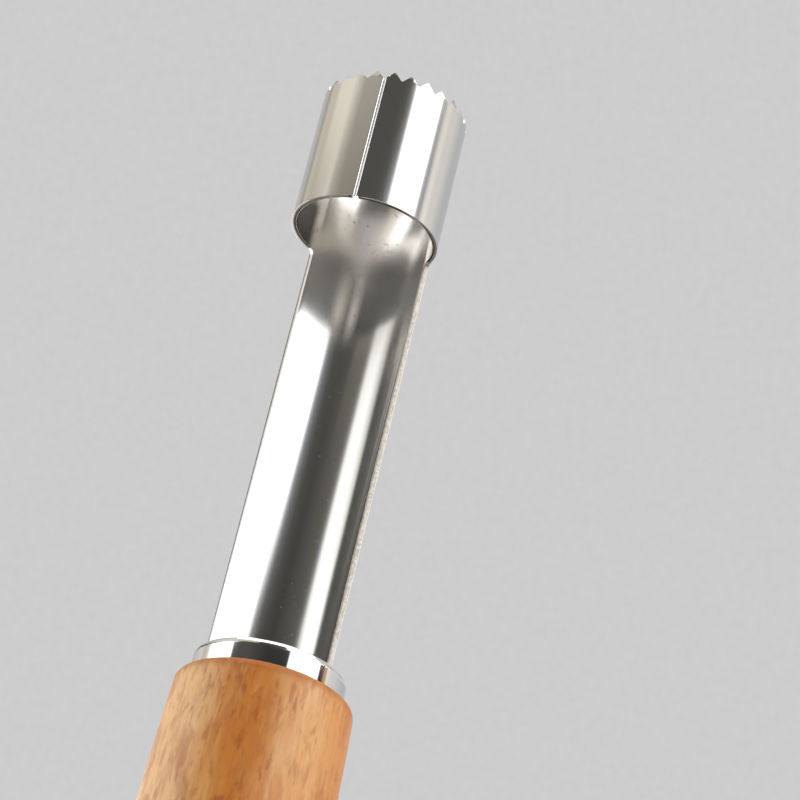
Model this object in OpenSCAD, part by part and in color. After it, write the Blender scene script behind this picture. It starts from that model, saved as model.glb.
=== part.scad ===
// Fruit corer: a toothed coring ring and a trough rolled from one sheet, a polished cap and a turned handle.
// The tool stands on the flat butt of its handle, with the teeth up. The centre line of the handle is the
// Z axis, the trough is open towards -Y, and the tool is symmetric about the YZ plane.

/* [Coring ring] */
// Outside diameter of the rolled coring ring
ring_d = 22.2; // [22:0.1:24]
// Length of the ring from its rear rim to the roots of its teeth
ring_l = 20.9; // [14:0.1:28]
// Thickness of the steel sheet of ring, trough and tang
sheet_t = 0.7; // [0.6:0.1:1]
// Gap between the two edges of the sheet that meet along the front of the ring
seam_gap = 0.12; // [0.08:0.02:0.3]
// Rounding along the outer side of those two edges
seam_edge_r = 0.35; // [0.2:0.05:0.5]
// Rounding of the two sheet corners where the seam reaches the rear rim
seam_corner_r = 0.6; // [0.3:0.1:1.5]

/* [Teeth] */
// Number of teeth around the cutting rim
tooth_count = 26; // [20:1:26]
// Height of the teeth above their roots
tooth_h = 1.35; // [0.8:0.05:1.35]
// Radius of the rounded root between two teeth
tooth_root_r = 0.3; // [0.15:0.05:0.3]
// Angle between a tooth's flank and the centre line of the ring
flank_angle = 38; // [20:1:38]
// How far the outer bevel of the cutting rim reaches back from the tips
bevel_l = 1; // [0.3:0.1:1.2]
// How deep the bevel goes into the sheet at the tips
bevel_depth = 0.22; // [0.1:0.02:0.4]

/* [Trough] */
// Length of the trough from the face of the cap to the rear rim of the ring
trough_l = 67.4; // [50:0.1:90]
// Width over the edges of the trough at the ring
trough_front_w = 18.4; // [18.4:0.1:19.4]
// Width over the edges of the trough at the cap
trough_rear_w = 18.4; // [14:0.1:18.4]
// Distance from the centre line of the handle to the back of the trough
trough_back_y = 1.9; // [0.5:0.1:3]
// Inner corner radius where each edge of the trough meets the rear rim of the ring
trough_corner_r = 0.8; // [0.4:0.1:2]

/* [Tang] */
// Length of the tang inside the handle
tang_l = 38; // [20:1:60]
// Width of the tang
tang_w = 8.6; // [6:0.2:12]
// Radius of the two corners at the end of the tang
tang_corner_r = 2.5; // [1:0.1:2.9]

/* [Cap] */
// Outside diameter of the polished cap
cap_d = 22.4; // [22.2:0.1:22.8]
// Height of the cap above the shoulder of the handle
cap_h = 4; // [3:0.1:10]
// Wall of the cap
cap_wall = 0.8; // [0.5:0.1:1]
// Rounding of the outer edge of the cap's face
cap_edge_r = 1.2; // [0.8:0.1:1.2]
// Clearance of the slot in the cap around the trough
slot_fit = 0.12; // [0.05:0.01:0.3]

/* [Handle] */
// Length of the handle from its butt to its shoulder, without the spigot
handle_l = 104.5; // [80:0.5:130]
// Diameter of the handle at its shoulder, before the edge is rounded
shoulder_d = 26; // [25.8:0.1:28]
// Rounding of the shoulder's edge
shoulder_r = 1.4; // [0.6:0.1:1.4]
// Largest diameter of the handle
belly_d = 28.4; // [28.2:0.1:34]
// Distance from the shoulder down to the largest diameter
belly_drop = 52; // [40:1:60]
// Rounding of the butt's edge
butt_r = 2.5; // [1:0.5:3.5]
// Clearance between the cap and the spigot inside it
spigot_fit = 0.1; // [0.05:0.01:0.2]
// Clearance between the corners of the tang and the hole drilled for it
tang_fit = 0.1; // [0.05:0.01:0.3]
// Room in the drilled hole behind the tang
hole_spare = 2; // [0.5:0.5:6]
// Angle of the cone that the drill leaves at the end of its hole
drill_angle = 118; // [90:1:140]

/* [Hidden] */
$fn = 144;
// How far cutting bodies reach past the faces that they cut
past = 1;
// How far each notch reaches inside the curved inner wall of the ring
notch_reach = 0.3;
// How far its slanted flanks go on above the tips
notch_rise = 0.05;
// Straight steps along the side of the handle, and around each of its rounded edges
side_steps = 24;
edge_steps = 10;
// Straight steps around each small rounded corner of the blade
corner_steps = 6;
// How far the rounding beside the seam stands proud of the ring, so that the two faces cross cleanly
proud = 0.005;

// Heights above the butt
shoulder_z = handle_l;
cap_face_z = shoulder_z + cap_h;
spigot_end_z = cap_face_z - cap_wall;
rim_z = cap_face_z + trough_l;

// Blade: in its own frame the centre line of the ring is the Z axis and its rear rim lies at z = 0
ring_r = ring_d / 2;
ring_in_r = ring_r - sheet_t;
ring_y = trough_back_y - ring_r;
tip_z = ring_l + tooth_h;
tooth_pitch = 360 / tooth_count;
front_angle = asin(trough_front_w / ring_d);
rear_angle = asin(trough_rear_w / ring_d);
edge_slant = atan(ring_r * (front_angle - rear_angle) * PI / 180 / trough_l);
tang_top_z = -trough_l - cap_wall;
tang_end_z = tang_top_z - tang_l;

// Cap and drilled hole
cap_r = cap_d / 2;
cap_in_r = cap_r - cap_wall;
spigot_r = cap_in_r - spigot_fit;
tang_corner_y = ring_y + sqrt(ring_r * ring_r - tang_w * tang_w / 4);
hole_r = sqrt(tang_w * tang_w / 4 + tang_corner_y * tang_corner_y) + tang_fit;
hole_floor_z = rim_z + tang_end_z - hole_spare;

// Handle: its side is one long arc through the shoulder and the belly
belly_z = shoulder_z - belly_drop;
side_fall = (belly_d - shoulder_d) / 2;
side_r = (belly_drop * belly_drop + side_fall * side_fall) / (2 * side_fall);
side_x = belly_d / 2 - side_r;

// Direction in which a rounding of radius r at height z runs into the arc of the side
function edge_angle(r, z) = asin((z - belly_z) / (side_r - r));
// Centre of that rounding
function edge_centre(r, z) = [side_x + (side_r - r) * cos(edge_angle(r, z)), z];
// Points along an arc, from its first to its last angle
function arc_points(c, r, first, last, steps) = [
    for (i = [0 : steps])
        let (a = first + (last - first) * i / steps)
            c + r * [cos(a), sin(a)]
];

// One notch between two teeth, cut towards -Y through the wall of the ring
module tooth_notch() {
    root_z = ring_l + tooth_root_r;
    touch_z = root_z - tooth_root_r * sin(flank_angle);
    top_z = tip_z + notch_rise;
    top_x = tooth_root_r * cos(flank_angle) + (top_z - touch_z) * tan(flank_angle);
    rotate([90, 0, 0])
        translate([0, 0, ring_in_r - notch_reach])
            linear_extrude(height = sheet_t + notch_reach + past)
                polygon(concat(
                    [[top_x, top_z], [top_x, tip_z + past], [-top_x, tip_z + past], [-top_x, top_z]],
                    arc_points([0, root_z], tooth_root_r, 180 + flank_angle, 360 - flank_angle, corner_steps)
                ));
}

// The ground bevel around the outside of the cutting rim
module rim_bevel() {
    slope = bevel_depth / bevel_l;
    rotate_extrude()
        polygon([
            [ring_r + past * slope, tip_z - bevel_l - past],
            [ring_r + past, tip_z - bevel_l - past],
            [ring_r + past, tip_z + past],
            [ring_r - bevel_depth - past * slope, tip_z + past]
        ]);
}

// The waste outside one rounded sheet edge beside the seam, in a cross-section of the ring
module seam_edge_waste() {
    reach = ring_r - seam_edge_r + proud;
    x = seam_gap / 2 + seam_edge_r;
    y = -sqrt(reach * reach - x * x);
    polygon(concat(
        arc_points([x, y], seam_edge_r, 180, 360 + atan2(y, x), corner_steps),
        [[x, -ring_r - past], [0, -ring_r - past], [0, y]]
    ));
}

// The waste outside one rounded sheet corner, where the seam reaches the rear rim, seen from the front
module seam_corner_waste() {
    x = seam_gap / 2 + seam_corner_r;
    polygon(concat(
        arc_points([x, seam_corner_r], seam_corner_r, 180, 270, corner_steps),
        [[x, -past], [0, -past], [0, seam_corner_r]]
    ));
}

// The open seam along the front of the ring
module seam() {
    translate([-seam_gap / 2, -ring_r - past, -past])
        cube([seam_gap, ring_r + past, tip_z + 2 * past]);
    for (side = [0, 1])
        mirror([side, 0, 0]) {
            translate([0, 0, -past])
                linear_extrude(height = tip_z + 2 * past)
                    seam_edge_waste();
            rotate([90, 0, 0])
                linear_extrude(height = ring_r + past)
                    seam_corner_waste();
        }
}

// The waste in front of one edge of the trough. The edge is cut square to the sheet, it slants back towards
// the cap, and it runs into the rear rim of the ring with a small round corner.
module trough_edge_waste() {
    r = trough_corner_r;
    l = past - tang_end_z;
    corner_x = r * (1 - sin(edge_slant)) / cos(edge_slant);
    rotate([0, 0, -front_angle])
        rotate([90, 0, 0])
            linear_extrude(height = 2 * ring_d, center = true)
                polygon(concat(
                    [[ring_d, 0], [ring_d, -l], [-l * tan(edge_slant), -l]],
                    arc_points([corner_x, -r], r, 180 - edge_slant, 90, corner_steps)
                ));
}

// The tang seen from the front, with two rounded corners at its end
module tang_outline() {
    r = tang_corner_r;
    translate([-tang_w / 2, tang_end_z + r])
        square([tang_w, tang_l - r + past]);
    translate([r - tang_w / 2, tang_end_z])
        square([tang_w - 2 * r, r + past]);
    for (side = [-1, 1])
        translate([side * (tang_w / 2 - r), tang_end_z + r])
            circle(r = r);
}

// What is cut away beside and below the tang, so that the full width of the trough ends in two flat shoulders
module tang_waste() {
    difference() {
        translate([-ring_d, -ring_d, tang_end_z - past])
            cube([2 * ring_d, 2 * ring_d, tang_l + past]);
        rotate([90, 0, 0])
            linear_extrude(height = 2 * ring_d, center = true)
                tang_outline();
    }
}

// The blade: ring, trough and tang are one sheet
module corer_blade() {
    color("silver")
        translate([0, ring_y, rim_z])
            difference() {
                translate([0, 0, tang_end_z])
                    cylinder(h = tip_z - tang_end_z, r = ring_r);
                translate([0, 0, tang_end_z - past])
                    cylinder(h = tip_z - tang_end_z + 2 * past, r = ring_in_r);
                for (side = [0, 1])
                    mirror([side, 0, 0])
                        trough_edge_waste();
                tang_waste();
                seam();
                rim_bevel();
                for (i = [0 : tooth_count - 1])
                    rotate([0, 0, i * tooth_pitch])
                        tooth_notch();
            }
}

// The cut through the face of the cap: the section of the trough there, grown by a clearance
module trough_slot() {
    half = rear_angle + slot_fit / ring_r * 180 / PI;
    reach = 2 * ring_d;
    translate([0, ring_y, spigot_end_z - past])
        linear_extrude(height = cap_wall + 2 * past)
            intersection() {
                difference() {
                    circle(r = ring_r + slot_fit);
                    circle(r = ring_in_r - slot_fit);
                }
                polygon([
                    [0, 0],
                    [reach * sin(half), reach * cos(half)],
                    [reach, reach],
                    [-reach, reach],
                    [-reach * sin(half), reach * cos(half)]
                ]);
            }
}

// The cap: a drawn cup with a rounded face, open towards the handle
module ferrule() {
    edge = [cap_r - cap_edge_r, cap_face_z - cap_edge_r];
    color("gainsboro")
        difference() {
            rotate_extrude()
                difference() {
                    translate([0, shoulder_z])
                        square([cap_r, cap_h]);
                    difference() {
                        translate(edge)
                            square(cap_edge_r + past);
                        translate(edge)
                            circle(r = cap_edge_r);
                    }
                }
            translate([0, 0, shoulder_z - past])
                cylinder(h = spigot_end_z - shoulder_z + past, r = cap_in_r);
            trough_slot();
        }
}

// Half of the handle's outline: the long arc of its side between two rounded edges, and the spigot
module handle_outline() {
    top_a = edge_angle(shoulder_r, shoulder_z - shoulder_r);
    butt_a = edge_angle(butt_r, butt_r);
    side_step = (top_a - butt_a) / side_steps;
    polygon(concat(
        [[0, 0]],
        arc_points(edge_centre(butt_r, butt_r), butt_r, -90, butt_a, edge_steps),
        arc_points([side_x, belly_z], side_r, butt_a + side_step, top_a - side_step, side_steps - 2),
        arc_points(edge_centre(shoulder_r, shoulder_z - shoulder_r), shoulder_r, top_a, 90, edge_steps),
        [[spigot_r, shoulder_z], [spigot_r, spigot_end_z], [0, spigot_end_z]]
    ));
}

// The hole drilled for the tang, with the cone that the drill leaves
module drilled_hole() {
    drill_tip = hole_r / tan(drill_angle / 2);
    rotate_extrude()
        polygon([
            [0, hole_floor_z - drill_tip],
            [hole_r, hole_floor_z],
            [hole_r, spigot_end_z + past],
            [0, spigot_end_z + past]
        ]);
}

// The handle: turned wood with a spigot for the cap and a drilled hole for the tang
module handle() {
    color("peru")
        difference() {
            rotate_extrude()
                handle_outline();
            drilled_hole();
        }
}

corer_blade();
ferrule();
handle();
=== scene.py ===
import math

import bpy
from mathutils import Matrix, Vector


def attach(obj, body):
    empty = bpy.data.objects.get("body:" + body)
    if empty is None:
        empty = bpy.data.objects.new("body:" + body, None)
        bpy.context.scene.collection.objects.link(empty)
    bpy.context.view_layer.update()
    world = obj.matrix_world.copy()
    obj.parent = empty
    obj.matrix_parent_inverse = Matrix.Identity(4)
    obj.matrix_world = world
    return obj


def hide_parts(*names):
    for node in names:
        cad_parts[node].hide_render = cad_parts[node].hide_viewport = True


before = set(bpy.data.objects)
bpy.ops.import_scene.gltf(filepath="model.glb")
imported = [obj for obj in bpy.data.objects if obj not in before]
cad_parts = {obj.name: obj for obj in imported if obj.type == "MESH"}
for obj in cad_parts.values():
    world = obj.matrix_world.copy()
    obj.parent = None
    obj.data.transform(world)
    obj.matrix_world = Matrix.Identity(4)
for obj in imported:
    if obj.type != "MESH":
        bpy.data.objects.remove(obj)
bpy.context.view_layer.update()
bpy.ops.object.select_all(action="DESELECT")

MM = 0.001

# ---------------------------------------------------------------- camera
# The tool stands upright. The camera looks up at it from low in front, rolled so that the tool leans.
CAMERA_PLACE = Vector((0.1108, -0.4293, -0.0728))
CAMERA_RIGHT = Vector((0.9706, 0.1195, 0.2090))
CAMERA_BACK = Vector((0.2051, -0.8654, -0.4574))
CAMERA_LENS = 151.0
SENSOR = 36.0
CLIP = (0.01, 20)


def make_camera():
    back = CAMERA_BACK.normalized()
    right = (CAMERA_RIGHT - back * CAMERA_RIGHT.dot(back)).normalized()
    up = back.cross(right)
    data = bpy.data.cameras.new("camera")
    data.sensor_width = SENSOR
    data.lens = CAMERA_LENS
    data.clip_start, data.clip_end = CLIP
    camera = bpy.data.objects.new("camera", data)
    bpy.context.collection.objects.link(camera)
    turn = Matrix((right, up, back)).transposed().to_4x4()
    camera.matrix_world = Matrix.Translation(CAMERA_PLACE) @ turn
    bpy.context.scene.camera = camera


# ---------------------------------------------------------------- colours
def linear(r, g, b):
    """A colour given on the usual 0 to 255 scale, as linear light."""
    out = []
    for level in (r, g, b):
        level /= 255
        out.append(level / 12.92 if level <= 0.04045 else ((level + 0.055) / 1.055) ** 2.4)
    return tuple(out)


def rgba(colour):
    return (*colour, 1.0)


# ---------------------------------------------------------------- studio
# The polished steel shows the studio, so the studio is a shell of light round the tool. It is made of belts. A belt has
# a level at two or more heights, and each level gives the light in some compass directions, in degrees from the open
# side of the trough towards +X. Heights are in degrees above the level of the shell's centre.
SHELL_RADIUS = 1.6
SHELL_CENTRE = Vector((0, -0.005, 0.150))
COMPASS_STEP = 1.5
HEIGHT_STEP = 1.5
STEEL_SHARE = 0.86
FLOOR_R = 0.19
FLOOR_DROP = 0.1 * MM
MOTTLE_SCALE = 420.0
MOTTLE_DETAIL = 3.0


def tone(r, g, b):
    """Light that looks like this colour when the steel shows it."""
    return tuple(v / STEEL_SHARE for v in linear(r, g, b))


SOFTBOX = (2.0, 2.0, 2.0)
GLOW = (1.25, 1.24, 1.20)
PAPER = tone(174, 173, 175)
PALE = tone(196, 195, 195)
MIST = tone(186, 185, 184)
SILVER = tone(203, 200, 196)
CREAM = tone(222, 213, 198)
IVORY = tone(236, 231, 221)
SAND = tone(190, 183, 169)
CLAY = tone(176, 169, 155)
TAUPE = tone(132, 125, 113)
OLIVE = tone(156, 152, 141)
STONE = tone(150, 149, 148)
LINE = tone(122, 119, 120)
HAZE = tone(130, 132, 134)
SMOKE = tone(100, 101, 103)
SLATE = tone(96, 94, 90)
DUSK = tone(84, 80, 74)
ROOM = tone(74, 73, 70)
NIGHT = tone(63, 61, 58)
COAL = tone(50, 48, 44)
AMBER = tone(168, 132, 98)
UMBER = tone(60, 40, 38)

# the floor, and the two tones of the mottled backdrop
FLOOR_PAPER = linear(214, 213, 211)
BACKDROP = (linear(204, 203, 203), linear(207, 206, 206))

# the colours of the wood
DEEP_OAK = linear(222, 138, 58)
GOLD_OAK = linear(238, 174, 100)
PALE_OAK = linear(244, 194, 136)
# pale wood, partly painted sheen
SAPWOOD_AND_SHEEN = linear(252, 204, 146)
RED_OAK = linear(186, 104, 46)
PORE = linear(170, 84, 40)


def between(a, b, share):
    return tuple(p + (q - p) * share for p, q in zip(a, b))


def light_at(stops, compass):
    for (c, light), (d, after) in zip(stops, stops[1:]):
        if compass <= d:
            return between(light, after, (compass - c) / (d - c))
    return stops[-1][1]


def belt(name, levels):
    """One belt of the shell, from its lowest level to its highest. Their stops come in the same order."""
    rows = []
    for (low, low_stops), (high, high_stops) in zip(levels, levels[1:]):
        count = max(1, round((high - low) / HEIGHT_STEP))
        for j in range(count + 1):
            share = j / count
            stops = [
                (c + (d - c) * share, between(light, after, share))
                for (c, light), (d, after) in zip(low_stops, high_stops)
            ]
            rows.append((low + (high - low) * share, stops))
    across = round(360 / COMPASS_STEP)
    points = []
    lights = []
    for height, stops in rows:
        r = math.radians(height)
        for i in range(across + 1):
            compass = i * COMPASS_STEP - 180
            a = math.radians(compass)
            way = Vector((math.sin(a) * math.cos(r), -math.cos(a) * math.cos(r), math.sin(r)))
            points.append(SHELL_CENTRE + way * SHELL_RADIUS)
            lights.append(light_at(stops, compass))
    faces = []
    for j in range(len(rows) - 1):
        for i in range(across):
            k = j * (across + 1) + i
            faces.append((k, k + 1, k + across + 2, k + across + 1))
    mesh = bpy.data.meshes.new(name)
    mesh.from_pydata(points, [], faces)
    layer = mesh.color_attributes.new("light", "FLOAT_COLOR", "POINT")
    for k, light in enumerate(lights):
        layer.data[k].color = rgba(light)
    obj = bpy.data.objects.new(name, mesh)
    bpy.context.collection.objects.link(obj)
    mat = bpy.data.materials.new(name)
    mat.use_nodes = True
    tree = mat.node_tree
    tree.nodes.clear()
    colour = tree.nodes.new("ShaderNodeAttribute")
    colour.attribute_name = "light"
    glow = tree.nodes.new("ShaderNodeEmission")
    out = tree.nodes.new("ShaderNodeOutputMaterial")
    tree.links.new(colour.outputs["Color"], glow.inputs["Color"])
    tree.links.new(glow.outputs[0], out.inputs["Surface"])
    mesh.materials.append(mat)
    obj.visible_camera = False
    obj.visible_shadow = False


def make_studio():
    # below the tool: paper behind it, and the dark room in front
    floor = [(-180, PAPER), (-150, PAPER), (-140, SOFTBOX), (-56, SOFTBOX), (-46, ROOM), (104, ROOM), (110, PAPER),
             (180, PAPER)]
    belt("floor_belt", [(-84, floor), (-30, floor)])
    # level with the handle: a large softbox at the left and a weaker light at the right
    side = [(-180, PAPER), (-160, PAPER), (-150, SOFTBOX), (-52, SOFTBOX), (-46, ROOM), (34, ROOM), (40, GLOW),
            (96, GLOW), (104, PAPER), (180, PAPER)]
    belt("side_belt", [(-30, side), (16, side)])
    # what the side of the cap shows
    cap = [
        (-180, PALE), (-158, SAND), (-146, PAPER), (-132, MIST), (-114, SILVER), (-109, SAND), (-102, SAND),
        (-98, SILVER), (-93.5, IVORY), (-92, SOFTBOX), (-52, SOFTBOX), (-49, ROOM), (-26, ROOM), (-12, NIGHT),
        (4, COAL), (29, COAL), (35, NIGHT), (37, SOFTBOX), (85, SOFTBOX), (88, UMBER), (94, UMBER), (97, AMBER),
        (100, AMBER), (104, CREAM), (112, SILVER), (124, PALE), (136, MIST), (148, PAPER), (162, PAPER), (180, PALE),
    ]
    belt("cap_belt", [(16, cap), (21.2, cap)])
    # what the inside of the trough shows, from the cap up to the ring
    trough_low = [
        (-180, PAPER), (-120, SLATE), (-104, SLATE), (-96, SMOKE), (-88, LINE), (-83, STONE), (-79, SILVER),
        (-75, GLOW), (-66, GLOW), (-46, GLOW), (-43, STONE), (-37, SLATE), (-28, DUSK), (-14, ROOM), (0, NIGHT),
        (14, ROOM), (24, DUSK), (33, SMOKE), (38.5, PALE), (42, SOFTBOX), (106, SOFTBOX), (110, CREAM), (180, PALE),
    ]
    trough_mid = [
        (-180, PAPER), (-120, ROOM), (-104, ROOM), (-96, DUSK), (-88, SMOKE), (-83, LINE), (-79, PALE),
        (-74, IVORY), (-66, GLOW), (-46, GLOW), (-43, STONE), (-37, SLATE), (-28, DUSK), (-14, ROOM), (0, NIGHT),
        (13, ROOM), (20, SMOKE), (26, HAZE), (29, MIST), (32, SOFTBOX), (106, SOFTBOX), (110, CREAM), (180, PALE),
    ]
    trough_high = [
        (-180, PAPER), (-120, ROOM), (-104, ROOM), (-96, DUSK), (-88, SLATE), (-82, LINE), (-77, STONE),
        (-71, SILVER), (-64, GLOW), (-48, GLOW), (-43, OLIVE), (-38, SLATE), (-28, SLATE), (-14, DUSK), (0, ROOM),
        (13, ROOM), (19, SMOKE), (25, HAZE), (28, MIST), (31, SOFTBOX), (106, SOFTBOX), (110, CREAM), (180, PALE),
    ]
    belt("trough_belt", [(21.2, trough_low), (22.2, trough_low), (24.8, trough_mid), (28.6, trough_high),
                         (29.1, trough_high)])
    # what the outside of the ring shows, from its rear rim up to its teeth
    ring_low = [
        (-180, PAPER), (-166, PALE), (-156, PALE), (-142, PAPER), (-127, PAPER), (-121, OLIVE), (-117, OLIVE),
        (-112, SAND), (-100, CLAY), (-90, CLAY), (-64, SAND), (-55, TAUPE), (-44, TAUPE), (-18, TAUPE), (-15, ROOM),
        (19, ROOM), (27, DUSK), (35, SMOKE), (40, SOFTBOX), (83, SOFTBOX), (87, LINE), (94, LINE), (98, PALE),
        (104, CREAM), (111, SILVER), (124, SILVER), (136, MIST), (148, PAPER), (168, PAPER), (180, PAPER),
    ]
    ring_high = [
        (-180, PAPER), (-166, SILVER), (-154, SILVER), (-140, PAPER), (-127, PAPER), (-121, OLIVE), (-117, OLIVE),
        (-112, SAND), (-97, SAND), (-88, CREAM), (-64, CREAM), (-53, SAND), (-44, OLIVE), (-18, OLIVE), (-15, ROOM),
        (19, ROOM), (27, DUSK), (35, SMOKE), (40, SOFTBOX), (84, SOFTBOX), (88, STONE), (93, STONE), (98, SILVER),
        (104, CREAM), (111, SILVER), (124, SILVER), (136, MIST), (148, PAPER), (168, PAPER), (180, PAPER),
    ]
    belt("ring_belt", [(29.1, ring_low), (31.2, ring_low), (32.8, ring_high), (35.0, ring_high)])
    # what the bevel of the teeth and the rounded edge of the cap show
    upper = [
        (-180, PALE), (-132, PALE), (-127, PAPER), (-121, TAUPE), (-117, TAUPE), (-112, SILVER), (-97, SILVER),
        (-62, SILVER), (-46, SAND), (-18, SAND), (-14, ROOM), (30, ROOM), (36, SOFTBOX), (92, SOFTBOX), (97, MIST),
        (106, CREAM), (126, OLIVE), (140, PALE), (180, PALE),
    ]
    belt("upper_belt", [(35.0, upper), (60.0, upper)])
    # a large softbox overhead
    overhead = [(-180, SOFTBOX), (180, SOFTBOX)]
    belt("top_belt", [(60.0, overhead), (88.0, overhead)])
    # a plain round floor, small enough to stay out of the view of the camera
    bpy.ops.mesh.primitive_circle_add(vertices=128, radius=FLOOR_R, fill_type="NGON", location=(0, 0, -FLOOR_DROP))
    disc = bpy.context.object
    disc.name = "floor"
    bpy.ops.object.transform_apply(location=True)
    mat = bpy.data.materials.new("floor_paper")
    mat.use_nodes = True
    bsdf = mat.node_tree.nodes["Principled BSDF"]
    bsdf.inputs["Base Color"].default_value = rgba(FLOOR_PAPER)
    bsdf.inputs["Roughness"].default_value = 0.8
    disc.data.materials.append(mat)

    world = bpy.data.worlds.new("studio")
    bpy.context.scene.world = world
    world.use_nodes = True
    tree = world.node_tree
    tree.nodes.clear()
    path = tree.nodes.new("ShaderNodeLightPath")
    seen = tree.nodes.new("ShaderNodeBackground")
    # the backdrop is paper with a faint mottle
    mottle = tree.nodes.new("ShaderNodeTexNoise")
    mottle.inputs["Scale"].default_value = MOTTLE_SCALE
    mottle.inputs["Detail"].default_value = MOTTLE_DETAIL
    paper = tree.nodes.new("ShaderNodeValToRGB")
    for stop, place, light in zip(paper.color_ramp.elements, (0.3, 0.7), BACKDROP):
        stop.position = place
        stop.color = rgba(light)
    tree.links.new(mottle.outputs["Fac"], paper.inputs["Fac"])
    tree.links.new(paper.outputs["Color"], seen.inputs["Color"])
    room = tree.nodes.new("ShaderNodeBackground")
    room.inputs["Color"].default_value = rgba(TAUPE)
    mix = tree.nodes.new("ShaderNodeMixShader")
    out = tree.nodes.new("ShaderNodeOutputWorld")
    tree.links.new(path.outputs["Is Camera Ray"], mix.inputs["Fac"])
    tree.links.new(room.outputs[0], mix.inputs[1])
    tree.links.new(seen.outputs[0], mix.inputs[2])
    tree.links.new(mix.outputs[0], out.inputs["Surface"])


# ---------------------------------------------------------------- sizes, as in the part's source
RING_R = 11.1 * MM
RING_IN_R = 10.4 * MM
RING_Y = -9.2 * MM
RIM_Z = 175.9 * MM
CAP_R = 11.2 * MM
CAP_EDGE_R = 1.2 * MM
CAP_FACE_Z = 108.5 * MM
SIDE_R = 1127.267 * MM
BELLY_R = 14.2 * MM
BELLY_Z = 52.5 * MM
SHOULDER_Z = 104.5 * MM
SHOULDER_R = 1.4 * MM
BUTT_R = 2.5 * MM
# nearer to the axis than this, the faces of the handle are its spigot and its bore
SPIGOT_CLEAR_R = 9.8 * MM
SEAM_HALF = 1.2 * MM
SEAM_GAP = 0.12 * MM
SEAM_EDGE_R = 0.35 * MM
ON_SURFACE = 0.02 * MM

# how far the shading of the cut edges leans to the nearer wall, which makes them look a little rounded
RIM_TURN = 0.45
EDGE_TURN = 0.2
# further above the rear rim than this, the cut edges are those of the teeth and stay as they are
TEETH_GAP = 2 * MM
# the sheet is flat along the edges of the trough: beyond this angle from the middle of its back
FLAT_FROM = math.radians(43)

# ---------------------------------------------------------------- marks of use, painted light and shade, and grain
# A pair of heights, angles or distances holds the two ends of a soft change. Angles go round the ring from the middle
# of its closed back towards +X.
DULL_Z = (160 * MM, 170 * MM)
SATIN_Z = (172 * MM, 178 * MM)
# the heights and angles where the painted shade inside the ring's left wall fades out
DARK_Z = (182 * MM, 185 * MM)
DARK_ANGLE = (math.radians(-66), math.radians(-57))
# the middle and half the width of each creamy streak, and the heights where they begin and end
CREAMY_STREAKS = ((math.radians(-20), math.radians(10)), (math.radians(-8), math.radians(7)))
STREAKS_BEGIN_Z = (161.5 * MM, 168 * MM)
STREAKS_END_Z = (168 * MM, 178 * MM)
# where the painted highlight along the inside of the trough's right edge begins, and how far its border wavers
EDGE_HIGHLIGHT_X = 8.45 * MM
EDGE_HIGHLIGHT_SWING = 0.6 * MM
# the way across the boards of the handle, and the bands of the wood in that direction, whose paler parts are partly
# painted sheen
HEART_AND_SHEEN_WAY = Vector((0.968, 0.250, 0))
HEART_AND_SHEEN = (3 * MM, 10 * MM)
SAPWOOD_AND_SHEEN_SIDE = (-12 * MM, -5 * MM)
DEEP_SIDE = (7 * MM, 12.5 * MM)
GRAIN_SWAY = 2.4 * MM

# the colours of the steel, as linear light
STEEL = (0.86, 0.86, 0.855)
DULL_STEEL = (0.90, 0.885, 0.86)
CHROME = (0.88, 0.88, 0.88)
# the two tones of the painted shade on the rear rim
RIM_INNER_SHADE = (0.11, 0.09, 0.07)
RIM_OUTER_SHADE = (0.30, 0.285, 0.265)
# the painted shade inside the left wall of the ring
PAINTED_WEDGE_SHADE = (0.10, 0.095, 0.09)
# the cream of the two streaks below the ring
STREAK_CREAM = (1.0, 0.92, 0.80)
BROWN_STAIN = (0.24, 0.17, 0.11)
DUST = (0.80, 0.80, 0.78)
FILED_DARK = (0.31, 0.28, 0.24)
FILED_LIGHT = (0.45, 0.42, 0.37)
EDGE_BRIGHT = (0.90, 0.89, 0.87)
EDGE_BROWN = (0.30, 0.22, 0.17)
# the colour of the painted highlight along the right edge of the trough
PAINTED_EDGE_HIGHLIGHT = (0.62, 0.57, 0.50)


# ---------------------------------------------------------------- true normals
# Each piece of the part is shown by a copy of its CAD mesh whose shading follows the true curved faces.
def flat_way(x, y):
    way = Vector((x, y, 0))
    return way.normalized() if way.length else Vector((0, 0, 1))


def blade_normal(point, face):
    way = Vector((point.x, point.y - RING_Y, 0))
    if abs(way.length - RING_R) < ON_SURFACE and face.dot(way.normalized()) > 0.97:
        return way.normalized()
    if abs(way.length - RING_IN_R) < ON_SURFACE and face.dot(way.normalized()) < -0.97:
        angle = math.atan2(way.x, way.y)
        if point.z < RIM_Z + ON_SURFACE:
            angle = max(-FLAT_FROM, min(FLAT_FROM, angle))
        return -Vector((math.sin(angle), math.cos(angle), 0))
    # both rounded edges of the seam catch the same light
    for hand in (-1, 1):
        x = hand * (SEAM_GAP / 2 + SEAM_EDGE_R)
        edge = Vector((x, RING_Y - math.sqrt((RING_R - SEAM_EDGE_R) ** 2 - x * x), 0))
        out = Vector((point.x, point.y, 0)) - edge
        if face.y < -0.1 and abs(face.x) > 0.05 and abs(out.length - SEAM_EDGE_R) < ON_SURFACE and out.y < 0:
            return Vector((abs(out.x), out.y, 0)).normalized()
    # the sheet's edges at the rear rim and along the trough are a little rounded
    if point.z > RIM_Z + TEETH_GAP or abs(point.x) < SEAM_HALF:
        return face
    wall = way.normalized() if way.length > (RING_R + RING_IN_R) / 2 else -way.normalized()
    return (face + wall * (RIM_TURN if face.z < -0.9 else EDGE_TURN)).normalized()


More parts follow.
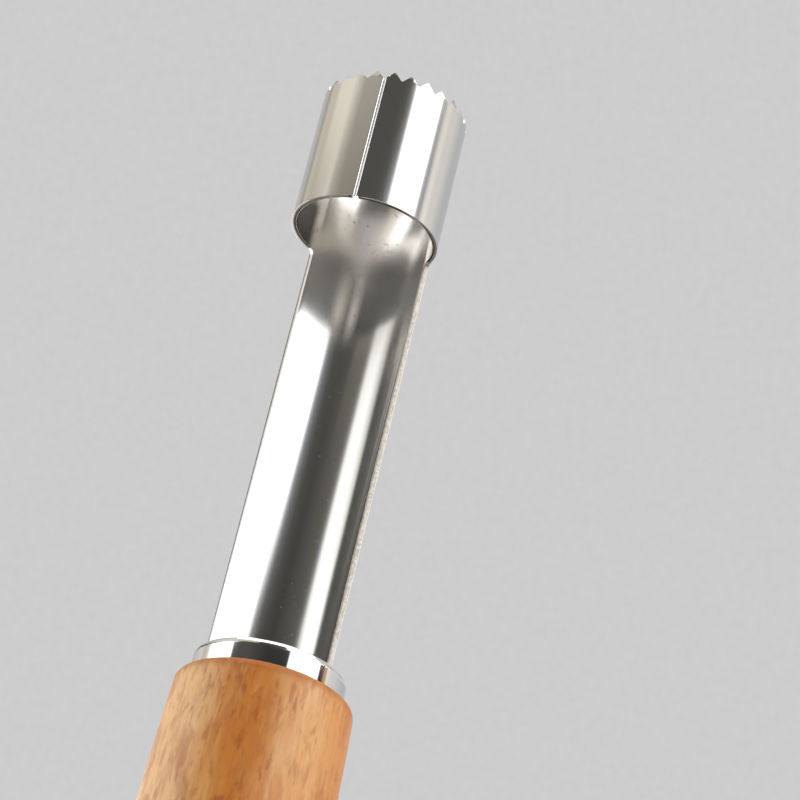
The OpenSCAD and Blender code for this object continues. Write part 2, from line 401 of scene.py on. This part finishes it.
def cap_normal(point, face):
    way = flat_way(point.x, point.y)
    r = math.hypot(point.x, point.y)
    edge = Vector((way.x, way.y, 0)) * (CAP_R - CAP_EDGE_R) + Vector((0, 0, CAP_FACE_Z - CAP_EDGE_R))
    if face.dot(way) > 0.999 and abs(r - CAP_R) < ON_SURFACE:
        return way
    if abs((point - edge).length - CAP_EDGE_R) < ON_SURFACE and face.z < 0.9999 and face.dot(way) > 0.01:
        return (point - edge).normalized()
    return face


def handle_normal(point, face):
    way = flat_way(point.x, point.y)
    r = math.hypot(point.x, point.y)
    if face.dot(way) < 0.01 or point.z > SHOULDER_Z + ON_SURFACE or r < SPIGOT_CLEAR_R:
        return face
    side_x = BELLY_R - SIDE_R
    for edge_r, z in ((BUTT_R, BUTT_R), (SHOULDER_R, SHOULDER_Z - SHOULDER_R)):
        reach = math.sqrt((SIDE_R - edge_r) ** 2 - (z - BELLY_Z) ** 2)
        edge = way * (side_x + reach) + Vector((0, 0, z))
        beyond = point.z < z if z < BELLY_Z else point.z > z
        if beyond and (point - edge).length > edge_r * 0.9:
            return (point - edge).normalized()
    return (point - way * side_x - Vector((0, 0, BELLY_Z))).normalized()


def true_copy(node, name, normal_at):
    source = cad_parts[node]
    obj = bpy.data.objects.new(name, source.data.copy())
    bpy.context.collection.objects.link(obj)
    obj.data.materials.clear()
    bpy.ops.object.select_all(action="DESELECT")
    bpy.context.view_layer.objects.active = obj
    obj.select_set(True)
    bpy.ops.object.mode_set(mode="EDIT")
    bpy.ops.mesh.select_all(action="SELECT")
    bpy.ops.mesh.remove_doubles(threshold=0.001 * MM)
    bpy.ops.object.mode_set(mode="OBJECT")
    bpy.ops.object.shade_smooth()
    mesh = obj.data
    normals = []
    for face in mesh.polygons:
        for k in face.loop_indices:
            point = mesh.vertices[mesh.loops[k].vertex_index].co
            normals.append(normal_at(point, face.normal))
    mesh.normals_split_custom_set([tuple(n) for n in normals])
    obj.select_set(False)
    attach(obj, "root")
    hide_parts(node)
    return obj


# ---------------------------------------------------------------- materials
class Nodes:
    """Short names for making the nodes of one material."""

    def __init__(self, name):
        self.mat = bpy.data.materials.new(name)
        self.mat.use_nodes = True
        self.tree = self.mat.node_tree
        self.bsdf = self.tree.nodes["Principled BSDF"]

    def put(self, node, socket, value):
        if isinstance(value, bpy.types.NodeSocket):
            self.tree.links.new(value, node.inputs[socket])
        else:
            node.inputs[socket].default_value = value

    def math(self, operation, a, b=0.0, c=0.0):
        node = self.tree.nodes.new("ShaderNodeMath")
        node.operation = operation
        for k, v in enumerate((a, b, c)):
            self.put(node, k, v)
        return node.outputs[0]

    def place(self):
        """The place on the object, in metres, as one vector and as x, y and z."""
        coords = self.tree.nodes.new("ShaderNodeTexCoord").outputs["Object"]
        split = self.tree.nodes.new("ShaderNodeSeparateXYZ")
        self.put(split, 0, coords)
        return coords, split.outputs[0], split.outputs[1], split.outputs[2]

    def join(self, x, y, z):
        node = self.tree.nodes.new("ShaderNodeCombineXYZ")
        for k, v in enumerate((x, y, z)):
            self.put(node, k, v)
        return node.outputs[0]

    def noise(self, vector, scale, detail=2.0, roughness=0.5):
        node = self.tree.nodes.new("ShaderNodeTexNoise")
        self.put(node, "Vector", vector)
        self.put(node, "Scale", scale)
        self.put(node, "Detail", detail)
        self.put(node, "Roughness", roughness)
        return node.outputs["Fac"]

    def steps(self, value, first, last, low=0.0, high=1.0):
        """low up to first, high from last, and smooth between."""
        node = self.tree.nodes.new("ShaderNodeMapRange")
        node.interpolation_type = "SMOOTHSTEP"
        for k, v in (("Value", value), ("From Min", first), ("From Max", last), ("To Min", low), ("To Max", high)):
            self.put(node, k, v)
        return node.outputs[0]

    def blend(self, share, a, b):
        node = self.tree.nodes.new("ShaderNodeMix")
        node.data_type = "RGBA"
        self.put(node, 0, share)
        for k, v in ((6, a), (7, b)):
            self.put(node, k, v if isinstance(v, bpy.types.NodeSocket) else rgba(v))
        return node.outputs[2]

    def set(self, socket, value):
        self.put(self.bsdf, socket, rgba(value) if isinstance(value, tuple) and len(value) == 3 else value)


def make_steel():
    n = Nodes("blade_steel")
    coords, x, y, z = n.place()
    off = n.math("SUBTRACT", y, RING_Y)
    r = n.math("SQRT", n.math("ADD", n.math("MULTIPLY", x, x), n.math("MULTIPLY", off, off)))
    angle = n.math("ARCTAN2", x, off)
    inside = n.math("LESS_THAN", r, RING_IN_R + ON_SURFACE)
    outside = n.math("GREATER_THAN", r, RING_R - ON_SURFACE)
    edge = n.math("SUBTRACT", n.math("SUBTRACT", 1.0, inside), outside)
    below_rim = n.math("LESS_THAN", z, RIM_Z - ON_SURFACE)
    above_rim = n.math("GREATER_THAN", z, RIM_Z + ON_SURFACE)
    on_rim = n.math("LESS_THAN", n.math("ABSOLUTE", n.math("SUBTRACT", z, RIM_Z)), ON_SURFACE)
    # the inside is duller in the ring and just before it
    dull = n.math("MULTIPLY", inside, n.steps(z, *DULL_Z))
    cut = n.math("MULTIPLY", edge, below_rim)
    brushed = n.noise(n.join(x, y, n.math("MULTIPLY", z, 0.04)), 1400.0, 3.0, 0.6)
    rough = n.math("MULTIPLY_ADD", brushed, 0.06, 0.08)
    rough = n.math("MULTIPLY_ADD", inside, 0.02, rough)
    rough = n.math("MULTIPLY_ADD", dull, 0.05, rough)
    rough = n.math("MULTIPLY_ADD", cut, 0.16, rough)
    colour = n.blend(dull, STEEL, DULL_STEEL)
    # painted shade on the rear rim: it is brighter at its outer side and brown at its inner side
    rim_painted_shade = n.blend(n.steps(r, RING_IN_R + 0.24 * MM, RING_IN_R + 0.38 * MM), RIM_INNER_SHADE, RIM_OUTER_SHADE)
    colour = n.blend(n.math("MULTIPLY", edge, on_rim), colour, rim_painted_shade)
    # painted shade: the left wall of the ring is darkened inside, just above the rear rim
    dark = n.math("MULTIPLY", inside, above_rim)
    dark = n.math("MULTIPLY", dark, n.steps(z, *DARK_Z, 1.0, 0.0))
    dark = n.math("MULTIPLY", dark, n.steps(angle, *DARK_ANGLE, 0.95, 0.0))
    colour = n.blend(dark, colour, PAINTED_WEDGE_SHADE)
    # two creamy streaks, less shiny than bare metal, run down from the ring
    creamy_streak = 0.0
    for middle, half in CREAMY_STREAKS:
        away = n.math("ABSOLUTE", n.math("SUBTRACT", angle, middle))
        creamy_streak = n.math("MAXIMUM", n.steps(away, 0.0, half, 0.75, 0.0), creamy_streak)
    creamy_streak = n.math("MULTIPLY", n.math("MULTIPLY", creamy_streak, inside), n.steps(z, *STREAKS_BEGIN_Z))
    creamy_streak = n.math("MULTIPLY", creamy_streak, n.steps(z, *STREAKS_END_Z, 1.0, 0.0))
    colour = n.blend(creamy_streak, colour, STREAK_CREAM)
    # small brown stains in and near the ring, and specks of dust all along the inside
    stain = n.math("MULTIPLY", dull, n.steps(n.noise(coords, 1500.0, 2.0, 0.6), 0.67, 0.715, 0.0, 0.65))
    colour = n.blend(stain, colour, BROWN_STAIN)
    dust = n.math("MULTIPLY", inside, n.steps(n.noise(coords, 2300.0, 1.0, 0.5), 0.75, 0.78, 0.0, 0.4))
    colour = n.blend(dust, colour, DUST)
    # the right edge of the trough is filed, and the left one is bright but for its outer border
    grain = n.noise(coords, 2600.0, 2.0, 0.6)
    filed = n.blend(n.steps(grain, 0.35, 0.65), FILED_DARK, FILED_LIGHT)
    bright = n.blend(n.steps(r, RING_R - 0.22 * MM, RING_R - 0.12 * MM), EDGE_BRIGHT, EDGE_BROWN)
    colour = n.blend(cut, colour, n.blend(n.math("LESS_THAN", x, 0.0), filed, bright))
    # painted highlight: a matte beige strip along the inside of the right edge of the trough, with a wavering border
    painted_edge_highlight = n.math("ADD", x, n.math("MULTIPLY_ADD", grain, EDGE_HIGHLIGHT_SWING, -EDGE_HIGHLIGHT_SWING / 2))
    painted_edge_highlight = n.math("GREATER_THAN", painted_edge_highlight, EDGE_HIGHLIGHT_X)
    painted_edge_highlight = n.math("MULTIPLY", n.math("MULTIPLY", painted_edge_highlight, inside), below_rim)
    colour = n.blend(painted_edge_highlight, colour, PAINTED_EDGE_HIGHLIGHT)
    # the shine of bare metal is lost where the sheet is satin, streaked or dusty, and under the painted edge highlight
    satin = n.math("MULTIPLY_ADD", dull, n.steps(z, *SATIN_Z, 0.22, 0.03), creamy_streak)
    satin = n.math("MAXIMUM", satin, dust)
    n.set("Metallic", n.math("SUBTRACT", 1.0, n.math("MAXIMUM", painted_edge_highlight, satin)))
    n.set("Base Color", colour)
    n.set("Roughness", rough)
    return n.mat


def make_chrome():
    n = Nodes("cap_chrome")
    n.set("Metallic", 1.0)
    n.set("Base Color", CHROME)
    n.set("Roughness", 0.04)
    return n.mat


def make_wood():
    n = Nodes("handle_wood")
    coords, x, y, z = n.place()
    # the grain runs along the handle and sways a little
    sway = n.noise(n.join(x, y, n.math("MULTIPLY", z, 0.5)), 70.0, 2.0)
    board_x = n.math("ADD", x, n.math("MULTIPLY_ADD", sway, GRAIN_SWAY, -GRAIN_SWAY / 2))

    def along(share, scale, detail, roughness=0.55):
        """Noise drawn out along the grain. The smaller the share of the height, the longer its marks."""
        return n.noise(n.join(board_x, y, n.math("MULTIPLY", z, share)), scale, detail, roughness)

    # the deep heart of the board runs through the middle, and the wood is paler at both sides of it, partly its own
    # tone and partly painted sheen
    across = n.math("ADD", n.math("MULTIPLY", board_x, HEART_AND_SHEEN_WAY.x), n.math("MULTIPLY", y, HEART_AND_SHEEN_WAY.y))
    pale_and_sheen = n.steps(n.math("ABSOLUTE", across), *HEART_AND_SHEEN, -0.07, 0.17)
    broad = n.math("ADD", along(0.35, 150.0, 3.0), pale_and_sheen)
    colour = n.blend(n.steps(broad, 0.38, 0.66), DEEP_OAK, GOLD_OAK)
    streak = n.math("ADD", along(0.16, 520.0, 3.0), n.math("MULTIPLY", pale_and_sheen, 0.7))
    colour = n.blend(n.steps(streak, 0.46, 0.76, 0.0, 0.7), colour, PALE_OAK)
    # one side is paler, partly sapwood and partly painted sheen, and the other side goes back to the deep colour
    colour = n.blend(n.steps(across, *SAPWOOD_AND_SHEEN_SIDE, 0.85, 0.0), colour, SAPWOOD_AND_SHEEN)
    colour = n.blend(n.steps(across, *DEEP_SIDE, 0.0, 0.75), colour, DEEP_OAK)
    colour = n.blend(n.steps(along(0.07, 1700.0, 4.0, 0.7), 0.46, 0.76, 0.0, 0.35), colour, RED_OAK)
    cloud = n.steps(along(0.40, 300.0, 3.0, 0.6), 0.46, 0.70, 0.0, 0.55)
    colour = n.blend(cloud, colour, RED_OAK)
    # short soft dashes and pores of darker wood, with more of the dashes in the deep patches
    deep = n.steps(broad, 0.40, 0.60, 0.85, 0.35)
    dash = n.steps(along(0.34, 760.0, 3.0, 0.55), 0.51, 0.66)
    colour = n.blend(n.math("MULTIPLY", dash, deep), colour, RED_OAK)
    pore = n.steps(along(0.24, 1500.0, 1.0, 0.4), 0.60, 0.78, 0.0, 0.5)
    colour = n.blend(pore, colour, PORE)
    # painted shadow: the turned shoulder is darker where it meets the cap
    colour = n.blend(n.steps(z, SHOULDER_Z - 2.4 * MM, SHOULDER_Z - 0.1 * MM, 0.0, 0.8), colour, RED_OAK)
    n.set("Base Color", colour)
    n.set("Roughness", 0.40)
    n.set("Specular IOR Level", n.steps(z, SHOULDER_Z - 1.8 * MM, SHOULDER_Z - 0.5 * MM, 0.7, 0.1))
    return n.mat


# ---------------------------------------------------------------- making
make_camera()
make_studio()
PIECES = (
    ("corer_blade", "blade_sheet", blade_normal, make_steel(), "blade_steel"),
    ("ferrule", "cap", cap_normal, make_chrome(), "cap_chrome"),
    ("handle", "wooden_handle", handle_normal, make_wood(), "handle_wood"),
)
for node, name, normal_at, mat, slot in PIECES:
    piece = true_copy(node, name, normal_at)
    piece.data.materials.append(mat)

bpy.context.scene.view_settings.view_transform = "Standard"
